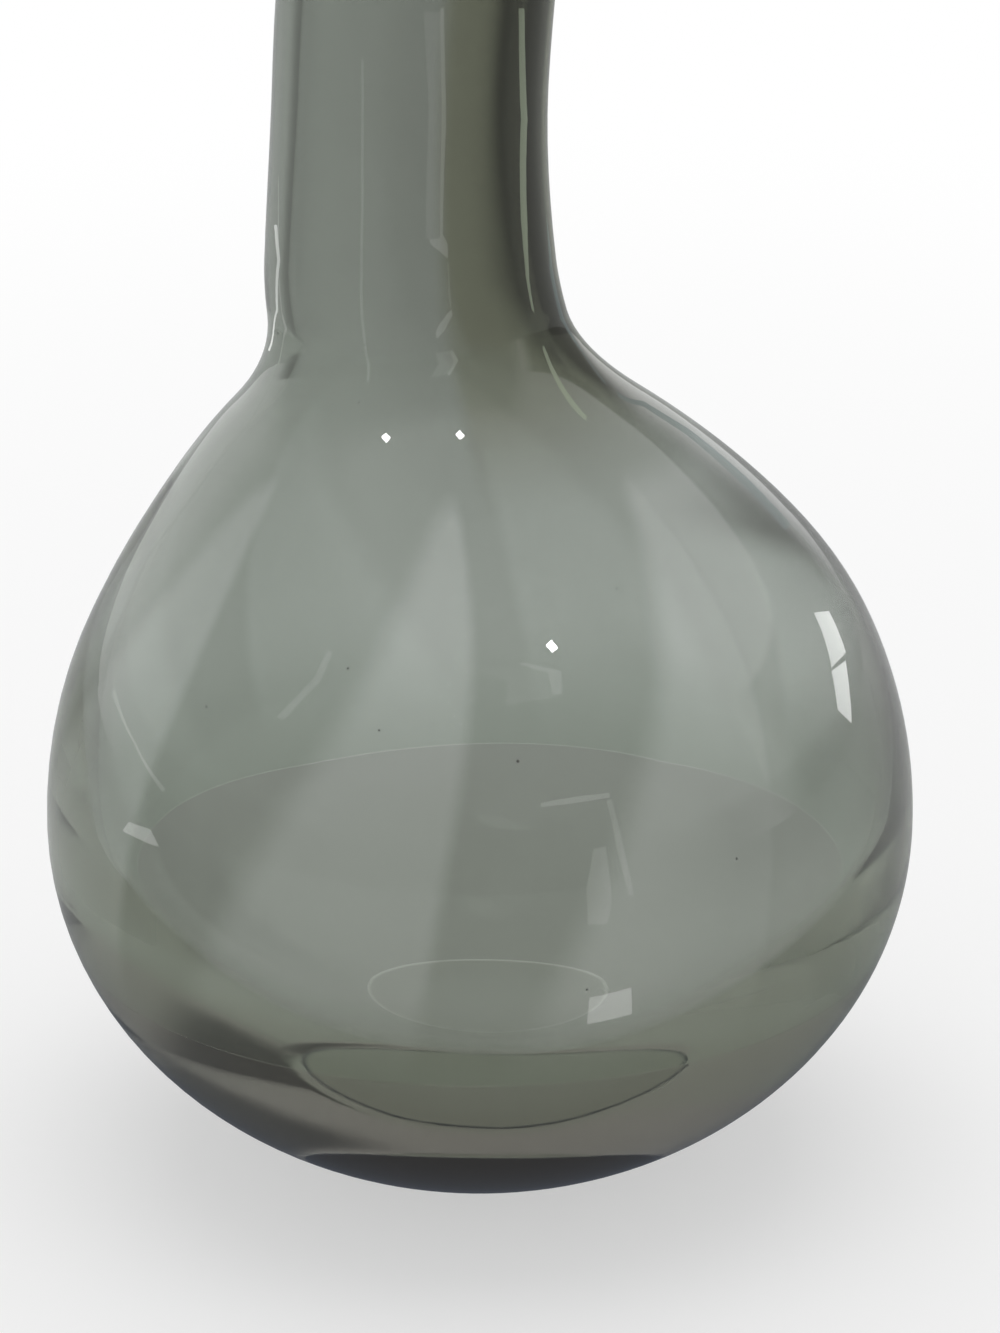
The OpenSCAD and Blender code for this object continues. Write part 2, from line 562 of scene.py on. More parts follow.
class Bench:
    """The node tree of one finish, with the one way in which nodes are put into it."""

    def __init__(self, owner: bpy.types.Material | bpy.types.World) -> None:
        """Lays out an empty tree.

        Args:
            owner: The material or world that the tree belongs to.
        """
        owner.use_nodes = True
        self.owner = owner
        self.tree = owner.node_tree
        self.tree.nodes.clear()

    @classmethod
    def material(cls, name: str) -> "Bench":
        """Starts a new material."""
        return cls(bpy.data.materials.new(name))

    def node(
        self, kind: str, settings: dict[str, Any] | None = None, sockets: dict[str | int, Any] | None = None
    ) -> bpy.types.Node:
        """Puts a node on the bench.

        Args:
            kind: Type of the node, less the ShaderNode that every type starts with.
            settings: Its settings, which are set first.
            sockets: Values or signals for its inputs, by name or number.

        Returns:
            The node.
        """
        made = self.tree.nodes.new("ShaderNode" + kind)
        for key, value in (settings or {}).items():
            setattr(made, key, value)
        for key, value in (sockets or {}).items():
            if isinstance(value, Signal):
                self.tree.links.new(value.socket, made.inputs[key])
            elif isinstance(value, bpy.types.NodeSocket):
                self.tree.links.new(value, made.inputs[key])
            else:
                made.inputs[key].default_value = value
        return made

    def signal(
        self, kind: str, output: str | int = 0, settings: dict[str, Any] | None = None,
        sockets: dict[str | int, Any] | None = None,
    ) -> "Signal":
        """Puts a node on the bench and takes one of its outputs."""
        return Signal(self, self.node(kind, settings, sockets).outputs[output])

    def place(self) -> "Signal":
        """Object coordinates, in metres."""
        return self.signal("TexCoord", "Object")

    def axes(self, vector: "Signal") -> tuple["Signal", "Signal", "Signal"]:
        """Splits a vector."""
        split = self.node("SeparateXYZ", sockets={0: vector})
        return Signal(self, split.outputs[0]), Signal(self, split.outputs[1]), Signal(self, split.outputs[2])

    def blend(self, share: "Signal", low: "Signal | Colour", high: "Signal | Colour") -> "Signal":
        """Mixes two colours."""
        ends = [end if isinstance(end, Signal) else solid(end) for end in (low, high)]
        return self.signal("Mix", 2, {"data_type": "RGBA"}, {0: share, 6: ends[0], 7: ends[1]})

    def mix(self, share: "Signal", low: bpy.types.Node, high: bpy.types.Node) -> bpy.types.NodeSocket:
        """Mixes two shaders."""
        sockets = {0: share, 1: low.outputs[0], 2: high.outputs[0]}
        return self.node("MixShader", sockets=sockets).outputs[0]

    def finish(self, surface: Any, volume: Any = None) -> Any:
        """Joins shaders to the output.

        Args:
            surface: Shader of the surface.
            volume: Shader of what fills the body.

        Returns:
            The material or world.
        """
        sockets = {"Surface": surface}
        if volume is not None:
            sockets["Volume"] = volume
        world = isinstance(self.owner, bpy.types.World)
        self.node("OutputWorld" if world else "OutputMaterial", sockets=sockets)
        return self.owner


class Signal:
    """A value on its way through a material. Plain arithmetic on it adds the Math nodes."""

    def __init__(self, bench: Bench, socket: bpy.types.NodeSocket) -> None:
        """Wraps an output."""
        self.bench = bench
        self.socket = socket

    def maths(
        self, operation: str, *others: "Signal | float", first: "Signal | float | None" = None
    ) -> "Signal":
        """Adds a Math node."""
        inputs = (self if first is None else first, *others)
        return self.bench.signal("Math", 0, {"operation": operation}, dict(enumerate(inputs)))

    def __add__(self, other: "Signal | float") -> "Signal":
        """Sum."""
        return self.maths("ADD", other)

    __radd__ = __add__

    def __sub__(self, other: "Signal | float") -> "Signal":
        """Difference."""
        return self.maths("SUBTRACT", other)

    def __rsub__(self, other: float) -> "Signal":
        """Difference, with the number first."""
        return self.maths("SUBTRACT", self, first=other)

    def __mul__(self, other: "Signal | float") -> "Signal":
        """Product."""
        return self.maths("MULTIPLY", other)

    __rmul__ = __mul__

    def __truediv__(self, other: "Signal | float") -> "Signal":
        """Quotient."""
        return self.maths("DIVIDE", other)

    def __pow__(self, other: "Signal | float") -> "Signal":
        """Power."""
        return self.maths("POWER", other)

    def __neg__(self) -> "Signal":
        """Negative."""
        return self.maths("MULTIPLY", -1.0)

    def cos(self) -> "Signal":
        """Cosine of an angle in radians."""
        return self.maths("COSINE")

    def sin(self) -> "Signal":
        """Sine of an angle in radians."""
        return self.maths("SINE")

    def least(self, other: "Signal | float") -> "Signal":
        """Lesser of two values."""
        return self.maths("MINIMUM", other)

    def most(self, other: "Signal | float") -> "Signal":
        """Greater of two values."""
        return self.maths("MAXIMUM", other)

    def within(self, period: float) -> "Signal":
        """Remainder in a period, from 0 up to the period."""
        return self.maths("WRAP", period, 0.0)

    def angle_to(self, other: "Signal") -> "Signal":
        """Angle in degrees of the vector whose sine side is this value and whose cosine side is another."""
        return self.maths("ARCTAN2", other) * (180.0 / math.pi)

    def eased(self, low: "Signal | float", high: "Signal | float") -> "Signal":
        """Eases from 0 at one value to 1 at another.

        Args:
            low: Value at which the step starts.
            high: Value at which it ends.

        Returns:
            The step.
        """
        settings = {"interpolation_type": "SMOOTHSTEP"}
        sockets = {0: self, 1: low, 2: high, 3: 0.0, 4: 1.0}
        return self.bench.signal("MapRange", 0, settings, sockets)

    def between(self, start: Sequence[Any], end: Sequence[Any]) -> "Signal":
        """Eases from 0 to 1 over a first stretch, and back to 0 over a second."""
        return self.eased(*start) * (1.0 - self.eased(*end))

    def over(self, count: int) -> "Signal":
        """Whether a whole number is greater than a count."""
        return self.eased(count + 0.4, count + 0.6)


# Finishes of the glass


@dataclass(frozen=True)
class Spot:
    """What a finish goes by at a spot of the vase: its bench, the coordinates, and the vase's form."""

    bench: Bench
    place: Signal
    form: VaseForm


@dataclass(frozen=True)
class Glass:
    """Blown glass: how it bends light, what it takes from it, and how its skin came out."""

    name: str
    absorption: Colour
    tint: Colour = WHITE
    ior: float = 1.5
    wave_height: float = 0.05 * MM
    wave_scale: float = 28.0
    wave_seed: float = 3.0
    depth_share: float = 0.9

    def joined(self, spot: Spot) -> Signal:
        """Tells how far a face is one with what it touches, so that light goes on through it unbent."""
        return spot.bench.signal("Attribute", "Fac", {"attribute_name": "fused"})

    def body(self, bench: Bench) -> bpy.types.NodeSocket:
        """Fills the glass with its colour. What a channel loses is the density times one less its colour.

        Args:
            bench: Bench of the finish.

        Returns:
            The volume shader.
        """
        most = max(self.absorption) / self.depth_share
        sockets = {"Color": solid([1.0 - a / most for a in self.absorption]), "Density": most}
        return bench.node("VolumeAbsorption", sockets=sockets).outputs[0]

    def waves(self, spot: Spot) -> Signal:
        """Gives the skin the slow waves of hand-blown glass.

        Args:
            spot: A spot of the vase.

        Returns:
            The normal.
        """
        clouds = {"Vector": spot.place, "W": self.wave_seed, "Scale": self.wave_scale, "Detail": 1.0}
        height = spot.bench.signal("TexNoise", "Fac", {"noise_dimensions": "4D"}, clouds)
        bump = {"Strength": 1.0, "Distance": self.wave_height, "Height": height}
        return spot.bench.signal("Bump", 0, None, bump)

    def dressing(self, spot: Spot) -> dict[str, Any]:
        """Says what sets this glass's skin apart from plain clear glass."""
        return {}

    def make(self, form: VaseForm) -> bpy.types.Material:
        """Makes the finish, clear where the glass is fused.

        Args:
            form: Form of the vase.

        Returns:
            The material.
        """
        bench = Bench.material(self.name)
        spot = Spot(bench, bench.place(), form)
        sockets = {
            "Base Color": solid(self.tint), "Roughness": 0.0, "IOR": self.ior, "Transmission Weight": 1.0,
            "Normal": self.waves(spot), **self.dressing(spot),
        }
        glass = bench.node("BsdfPrincipled", sockets=sockets)
        seam = bench.node("BsdfTransparent")
        return bench.finish(bench.mix(self.joined(spot), glass, seam), self.body(bench))


@dataclass(frozen=True)
class SmokeGlass(Glass):
    """Smoke glass of the outer skin, deeper in the neck. Its colour also carries painted shade, darker to
    the
    right of the neck, and painted light: pale gore streaks with a painted sheen.

    Places are in millimetres, across ones from the winding axis, and angles in degrees from the front.
    """

    neck_tint: Colour = (0.22, 0.243, 0.213)
    # Painted shade: tints and spans that darken the neck towards its middle and right side.
    neck_painted_shade_tint: Colour = (0.155, 0.17, 0.147)
    right_painted_shade_tint: Colour = (0.108, 0.116, 0.08)
    painted_light_tint: Colour = (0.53, 0.585, 0.54)
    neck_painted_shade_from: Span = (-18.0, 3.0)
    right_painted_shade_from: Span = (4.0, 8.0)
    neck_foot: float = 20.0
    right_painted_shade_foot: Span = (6.0, 24.0)
    # Painted light: the pale gore streaks, their tint and their painted sheen.
    painted_light_share: float = 0.5
    gore_right: float = -2.0
    gore_lean: float = 0.12
    gore_lean_z: float = 88.0
    gore_width: float = 26.0
    gore_top: float = 139.0
    gore_foot: Span = (40.0, 75.0)
    gore_length: float = 55.0
    gore_ends: Span = (-4.0, 3.0)
    gore_top_fade: float = 6.0
    gore_shape: float = 0.55
    broad_share: float = 0.8
    broad_fade: float = 8.0
    broad_end: Span = (40.0, 55.0)
    painted_sheen: float = 0.55
    sheen_roughness: float = 0.55
    sheen_ior: float = 2.5
    seed_count: float = 90.0
    seed_r: float = 0.35 * MM
    seed_tint: Colour = (0.02, 0.02, 0.018)

    def from_axis(self, spot: Spot) -> tuple[Signal, Signal, Signal]:
        """Measures a place from the winding axis of the vase.

        Args:
            spot: A spot of the vase.

        Returns:
            Distance to the right, distance back, and height, in millimetres.
        """
        form = spot.form
        x, y, height = spot.bench.axes(spot.place)
        z = height / MM
        fade = z.eased(form.leave_z, form.neck_z)
        turn = (z - form.neck_left_z) * (math.tau / form.neck_pitch) + math.pi
        across = x / MM - fade * form.neck_set * turn.cos()
        return across, y / MM - fade * form.neck_set * turn.sin(), z

    def painted_light_gores(self, across: Signal, along: Signal, z: Signal, form: VaseForm) -> Signal:
        """Draws the painted light: pale gore streaks, whose right edges stand and whose left edges sweep
        down with the twist.

        Args:
            across: Distance to the right of the axis.
            along: Distance back from the axis.
            z: Height.
            form: Form of the vase.

        Returns:
            The share of painted pale light.
        """
        phi = across.angle_to(-along)
        right = (z - self.gore_lean_z) * self.gore_lean + self.gore_right
        inward = (right - phi).within(360.0 / form.ribs)
        fall = ((self.gore_top - z) / self.gore_length).most(0.0)
        width = (fall ** self.gore_shape) * self.gore_width
        short, long = self.gore_ends
        edge = inward.between((0.0, long), (width + short, width + long))
        outer = right + 360.0 / form.ribs
        far = [outer + angle for angle in self.broad_end]
        broad = phi.between((outer - self.broad_fade, outer), far) * self.broad_share
        ends = z.between(self.gore_foot, (self.gore_top - self.gore_top_fade, self.gore_top))
        return edge.most(broad) * ends

    def seeds(self, spot: Spot) -> Signal:
        """Scatters seeds, the specks of ash and batch that hand-gathered glass picks up.

        Args:
            spot: A spot of the vase.

        Returns:
            The share of seed.
        """
        sockets = {"Vector": spot.place, "Scale": self.seed_count, "Randomness": 1.0}
        away = spot.bench.signal("TexVoronoi", "Distance", None, sockets)
        reach = self.seed_r * self.seed_count
        return 1.0 - away.eased(reach * 0.5, reach)

    def dressing(self, spot: Spot) -> dict[str, Any]:
        """Says what sets the smoke glass's skin apart.

        Args:
            spot: A spot of the vase.

        Returns:
            Inputs of the glass shader.
        """
        bench, form = spot.bench, spot.form
        across, along, z = self.from_axis(spot)
        painted_light_gores = self.painted_light_gores(across, along, z, form)
        neck = z.eased(form.bend_z - self.neck_foot, form.neck_z)
        # Painted shade: the neck darkens from its left edge towards the middle and right.
        middle = bench.blend(across.eased(*self.neck_painted_shade_from), self.neck_tint, self.neck_painted_shade_tint)
        # Painted light: the pale gore streaks lighten the colour, and the coat gives them a painted sheen.
        colour = bench.blend(painted_light_gores * self.painted_light_share, self.tint, self.painted_light_tint)
        colour = bench.blend(neck, colour, middle)
        # Painted shade: the right side of the neck, above its root, is darker still.
        root = z.eased(*(form.bend_z + rise for rise in self.right_painted_shade_foot))
        colour = bench.blend(root * across.eased(*self.right_painted_shade_from), colour, self.right_painted_shade_tint)
        return {
            "Base Color": bench.blend(self.seeds(spot), colour, self.seed_tint),
            "Coat Weight": painted_light_gores * self.painted_sheen,
            "Coat Roughness": self.sheen_roughness,
            "Coat IOR": self.sheen_ior,
        }


@dataclass(frozen=True)
class HeelGlass(Glass):
    """Glass of the heel, whose ground foot is frosted and shows what it stands on."""

    frost: float = 0.35
    ground_tint: Colour = (0.5, 0.5, 0.48)
    ground_share: float = 0.95

    def ground(self, spot: Spot) -> Signal:
        """Marks the ground ring and the hollow inside it.

        Args:
            spot: A spot of the vase.

        Returns:
            The share of ground glass.
        """
        form = spot.form
        x, y, height = spot.bench.axes(spot.place)
        away = (x * x + y * y) ** 0.5 / MM
        low = 1.0 - (height / MM).eased(form.pontil_depth, form.pontil_depth + 1.0)
        return low * (1.0 - away.eased(form.ring_r, form.ring_r + 1.0))

    def joined(self, spot: Spot) -> Signal:
        """Tells how far a face is one with what it touches, the table among it."""
        return super().joined(spot).most(self.ground(spot) * self.ground_share)

    def dressing(self, spot: Spot) -> dict[str, Any]:
        """Says what sets the heel's skin apart.

        Args:
            spot: A spot of the vase.

        Returns:
            Inputs of the glass shader.
        """
        ground = self.ground(spot)
        colour = spot.bench.blend(ground, self.tint, self.ground_tint)
        return {"Base Color": colour, "Roughness": ground * self.frost}


# Layers of the vase


@dataclass
class Layer:
    """One gather of the vase, and the glass it is made of."""

    form: VaseForm
    glass: Glass

    def blow(self) -> bpy.types.Object:
        """Makes the piece."""
        raise NotImplementedError

    def dress(self, piece: bpy.types.Object) -> None:
        """Gives the piece its glass."""
        piece.data.materials.append(self.glass.make(self.form))


@dataclass
class ClearBubble(Layer):
    """The first gather: a bubble of clear glass, ribbed outside and smooth in the hollow."""

    glass: Glass = Glass("clear bubble glass", (1.0, 0.6, 1.0))

    def blow(self) -> bpy.types.Object:
        """Blows the bubble.

        Returns:
            The piece.
        """
        form = self.form
        skin = form.bubble_skin
        top = form.bubble_top_z - form.seam
        outside = form.bowl(skin, WHOLE_BOWL) + form.upper(skin, top)
        inside = form.bowl(form.hollow_skin, WHOLE_BOWL) + form.upper(form.hollow_skin, top)
        gather = Gather("clear_bubble_glass", form, skin.widest - skin.drop, outside[0], Joint.FUSED)
        gather.draw_all(outside[1:], Joint.FUSED, corner=True)
        gather.draw(inside[-1], Joint.FUSED, corner=True)
        gather.draw_all(inside[-2::-1])
        return gather.close(form.floor_t, Joint.OPEN)


@dataclass
class SmokeCasing(Layer):
    """The second gather: smoke glass over the whole bubble, turned in over its end at the lip."""

    glass: SmokeGlass = SmokeGlass("smoke casing glass", (2.8, 2.6, 3.2), (0.27, 0.3, 0.267))
    lip_rings: int = 10

    def lip(self) -> list[Section]:
        """Rounds the lip.

        Returns:
            The sections, from the outside over to the bore.
        """
        form = self.form
        cuts = []
        for i in range(1, self.lip_rings):
            angle = math.pi * i / self.lip_rings
            radius = form.neck_r(form.lip_z) - form.lip_half * (1.0 - math.cos(angle))
            height = form.lip_z + form.lip_half * math.sin(angle)
            cuts.append(Section(radius, height, form.centre(form.lip_z)))
        return cuts

    def blow(self) -> bpy.types.Object:
        """Gathers the casing over the bubble.

        Returns:
            The piece.
        """
        form = self.form
        face = form.heel_face(form.seam)
        edge = form.heel_angle + math.asin(form.seam / form.belly_r)
        outside = form.bowl(form.outer_skin, spaced(edge, math.pi / 2.0, RINGS // 2))
        outside += form.upper(form.outer_skin, form.lip_z)
        skin = form.casing_skin
        bore = [form.section(form.hollow_skin, z) for z in (form.lip_z, form.bubble_top_z)]
        inner = form.bowl(skin, WHOLE_BOWL) + form.upper(skin, form.bubble_top_z)
        pole = form.belly_z - form.belly_drop * form.heel_share(0.0, form.seam)
        gather = Gather("smoke_casing_glass", form, pole, face[0], Joint.FUSED)
        gather.draw_all(face[1:], Joint.FUSED, corner=True)
        gather.draw(outside[0], Joint.FUSED, corner=True)
        gather.draw_all(outside[1:] + self.lip() + bore, corner=True)
        gather.draw(inner[-1], Joint.FUSED, corner=True)
        gather.draw_all(inner[-2::-1], Joint.FUSED)
        return gather.close(skin.widest - skin.drop, Joint.FUSED)


@dataclass
class BaseHeel(Layer):
    """The last gather: extra glass under the globe, ground to a flat ring round a polished hollow."""

    glass: HeelGlass = HeelGlass("heel glass", (6.0, 7.5, 8.5), (0.26, 0.26, 0.25))
    cap_r: float = 1.0
    hollow_rings: int = 6

    def blow(self) -> bpy.types.Object:
        """Gathers the heel and grinds its ring.

        Returns:
            The piece.
        """
        form = self.form
        hollow = []
        for r in spaced(self.cap_r, form.pontil_r, self.hollow_rings):
            hollow.append(Section(r, form.pontil_depth * (1.0 - (r / form.pontil_r) ** 2)))
        low = form.round_angle
        outside = form.bowl(form.outer_skin, spaced(low, form.heel_angle, RINGS))
        face = form.heel_face(0.0)
        gather = Gather("base_heel_glass", form, form.pontil_depth, hollow[0], Joint.OPEN)
        gather.draw_all(hollow[1:], corner=True)
        gather.draw(Section(form.ring_r, 0.0), corner=True)
        gather.draw_all(outside, corner=True)
        gather.draw(face[-1], Joint.FUSED, corner=True)
        gather.draw_all(face[-2::-1], Joint.FUSED)
        return gather.close(form.belly_z - form.belly_drop * form.heel_share(0.0, 0.0), Joint.FUSED)


# Studio


class Seen(Enum):
    """Which of the glass's rays see a thing on the stage. The value names the rays that don't."""

    MIRRORED = "transmission"
    THROUGH = "glossy"


def hide(thing: bpy.types.Object, *rays: str) -> None:
    """Hides a thing from kinds of rays."""
    for kind in rays:
        setattr(thing, "visible_" + kind, False)


def show_to_glass(thing: bpy.types.Object, seen: Seen) -> None:
    """Sets a thing on the stage, hidden from every ray but those of the glass."""
    hide(thing, "camera", "diffuse", "shadow", "volume_scatter", seen.value)


@dataclass(frozen=True)
class Card:
    """A plain card near the vase, whose mirror image the glass shows: its rungs in millimetres, its tone."""

    name: str
    tone: float
    rungs: tuple[Rung, ...]
    colour: Colour = WHITE

    def hang(self) -> None:
        """Cuts the card and hangs it on the stage."""
        bpy.ops.object.select_all(action="DESELECT")
        bpy.ops.mesh.primitive_grid_add(x_subdivisions=1, y_subdivisions=len(self.rungs) - 1, size=0.1)
        card = bpy.context.active_object
        card.name = self.name
        bpy.ops.object.mode_set(mode="EDIT")
        mesh = bmesh.from_edit_mesh(card.data)
        for number, corner in enumerate(corner for rung in self.rungs for corner in rung):
            bpy.ops.mesh.select_all(action="DESELECT")
            mesh.verts.ensure_lookup_table()
            point = mesh.verts[number]
            point.select_set(True)
            mesh.select_flush_mode()
            bpy.ops.transform.translate(value=Vector(corner) * MM - point.co)
        bpy.ops.object.mode_set(mode="OBJECT")
        bench = Bench.material(self.name + " tone")
        sockets = {"Color": solid(self.colour), "Strength": self.tone}
        glow = bench.node("Emission", sockets=sockets)
        nothing = bench.node("BsdfTransparent")
        back = bench.signal("NewGeometry", "Backfacing")
        material = bench.finish(bench.mix(back, glow, nothing))
        material.cycles.emission_sampling = "NONE"
        card.data.materials.append(material)
        show_to_glass(card, Seen.MIRRORED)


@dataclass(frozen=True)
class Wall:
    """A curved grey wall of the room, round part of the stage, that fades into the white beside it.

    Lengths are in metres, and angles in degrees to the right from the front of the vase.
    """

    name: str
    tone: float
    start: float
    end: float
    low: float
    high: float
    distance: float
    seen: Seen = Seen.MIRRORED
    fade: float = 15.0
    rise: float = 0.1
    panes: int = 72

    def build(self) -> None:
        """Builds the wall from a tube that is open at its ends, less what lies outside its stretch."""
        bpy.ops.object.select_all(action="DESELECT")
        bpy.ops.mesh.primitive_cylinder_add(
            vertices=self.panes, radius=self.distance, depth=self.high - self.low, end_fill_type="NOTHING",
            location=(0.0, 0.0, (self.high + self.low) / 2.0),
        )
        bpy.ops.object.transform_apply(location=True)
        wall = bpy.context.active_object
        wall.name = self.name
        bpy.ops.object.mode_set(mode="EDIT")
        bpy.ops.mesh.select_all(action="DESELECT")
        mesh = bmesh.from_edit_mesh(wall.data)
        for face in mesh.faces:
            middle = face.calc_center_median()
            round_by = math.degrees(math.atan2(middle.x, -middle.y))
            face.select_set(not self.start <= round_by <= self.end)
        bmesh.update_edit_mesh(wall.data)
        bpy.ops.mesh.delete(type="FACE")
        bpy.ops.object.mode_set(mode="OBJECT")
        wall.data.materials.append(self.paint())
        show_to_glass(wall, self.seen)

    def paint(self) -> bpy.types.Material:
        """Paints the wall, paler towards its edges.

        Returns:
            The material.
        """
        bench = Bench.material(self.name + " tone")
        x, y, z = bench.axes(bench.place())
        round_by = x.angle_to(-y)
        across = round_by.between((self.start, self.start + self.fade), (self.end - self.fade, self.end))
        up = z.between((self.low, self.low + self.rise), (self.high - self.rise, self.high))
        tone = bench.blend(across * up, WHITE, (self.tone,) * 3)
        material = bench.finish(bench.node("Emission", sockets={"Color": tone}).outputs[0])
        material.cycles.emission_sampling = "NONE"
        return material


CARDS = (
    Card("left bulb", 30.0, (
        ((-18.9, -31.9, 152.1), (-20.2, -31.3, 152.6)), ((-17.8, -31.9, 152.7), (-19.1, -31.4, 153.1))
    )),
    Card("right bulb", 30.0, (
        ((-1.8, -32.0, 153.1), (-2.8, -31.9, 153.8)), ((-0.6, -31.5, 153.5), (-1.6, -31.4, 154.2))
    )),
    Card("front bulb", 40.0, (
        ((16.0, -63.9, 126.9), (14.7, -62.8, 128.2)), ((17.3, -62.8, 127.5), (16.0, -61.7, 128.8))
    )),
    Card("upper pane", 4.0, (
        ((129, 9, 116), (117, 24, 132)), ((124, 27, 110), (116, 36, 123))
    )),
    Card("lower pane", 4.5, (
        ((134, -3, 102), (129, 7, 115)), ((134, 4, 93), (126, 23, 109))
    )),
    Card("paper", 3.5, (
        ((42, -117, 17), (44, -123, 31)), ((59, -110, 20), (60, -116, 34))
    )),
    Card("curtain rail", 1.7, (
        ((32, -147, 119), (32, -146, 121)), ((49, -141, 119), (49, -140, 122)),
        ((66, -133, 119), (66, -132, 121))
    )),
    Card("curtain", 1.2, (
        ((65, -135, 118), (67, -133, 118)), ((69, -138, 94), (73, -137, 93)),
        ((74, -138, 71), (76, -136, 71))
    )),
    Card("curtain hem", 1.3, (
        ((58, -144, 96), (64, -141, 97)), ((54, -148, 77), (66, -142, 70)),
        ((54, -147, 60), (63, -143, 59))
    )),
    Card("door", 0.95, (
        ((0, -100, 181), (24, -93, 180)), ((12, -93, 160), (32, -85, 160)),
        ((10, -95, 145), (30, -88, 146)), ((6, -101, 170), (22, -96, 174))
    )),
    Card("door edge", 1.7, (
        ((19, -94, 181), (23, -93, 181)), ((27, -86, 160), (32, -84, 160)),
        ((26, -88, 146), (29, -87, 146)), ((20, -96, 173), (22, -95, 173))
    )),
    Card("thin line", 1.2, (
        ((-70, -80, 177), (-67, -82, 176)), ((-66, -81, 153), (-63, -83, 153)),
        ((-68, -77, 127), (-65, -79, 127))
    )),
    Card("right frame", 2.2, (
        ((29.6, -19.1, 208.0), (30.1, -15.1, 208.2)), ((29.4, -9.4, 189.2), (29.3, -3.9, 189.4)),
        ((30.5, -9.0, 172.8), (30.5, -4.2, 172.8)), ((33.2, -6.7, 159.5), (33.3, -5.2, 159.1))
    ), (0.88, 1.0, 0.78)),
    Card("left frame", 2.2, (
        ((-51.8, 9.1, 171.4), (-53.1, 5.8, 171.6)), ((-53.8, 5.4, 164.9), (-54.5, 2.5, 165.0)),
        ((-52.0, 9.0, 153.7), (-52.7, 6.9, 153.7)), ((-48.8, 19.6, 148.2), (-50.4, 17.0, 148.7))
    )),
    Card("right sky", 0.6, (
        ((62, 62, 167), (60, 65, 164)), ((59, 72, 158), (55, 77, 152)), ((66, 72, 150), (62, 79, 142)),
        ((81, 65, 143), (76, 74, 134)), ((94, 58, 134), (90, 66, 127))
    ), (0.85, 0.97, 1.0)),
    Card("left sky", 0.9, (
        ((-123, 30, 104), (-122, 33, 102)), ((-117, 36, 119), (-116, 39, 116)),
        ((-110, 43, 128), (-109, 45, 126)), ((-105, 39, 147), (-104, 42, 145)),
        ((-93, 43, 168), (-92, 44, 167))
    )),
    Card("left window", 2.5, (
        ((-138, -29, 65), (-138, -33, 70)), ((-134, -57, 68), (-136, -50, 73))
    )),
    Card("left line", 1.3, (
        ((-131, 10, 102), (-131, 9, 104)), ((-136, -22, 98), (-136, -23, 99)),
        ((-134, -53, 90), (-134, -54, 92))
    )),
)
WALLS = (
    Wall("room", 0.35, -130.0, 90.0, -4.0, 6.0, 2.5, Seen.MIRRORED, 25.0, 4.0),
    Wall("dark side", 0.22, 80.0, 160.0, -1.5, 1.4, 2.4),
    Wall("dark room behind", 0.3, 110.0, 176.0, -0.4, 1.2, 2.3, Seen.THROUGH, 20.0, 0.4),
)


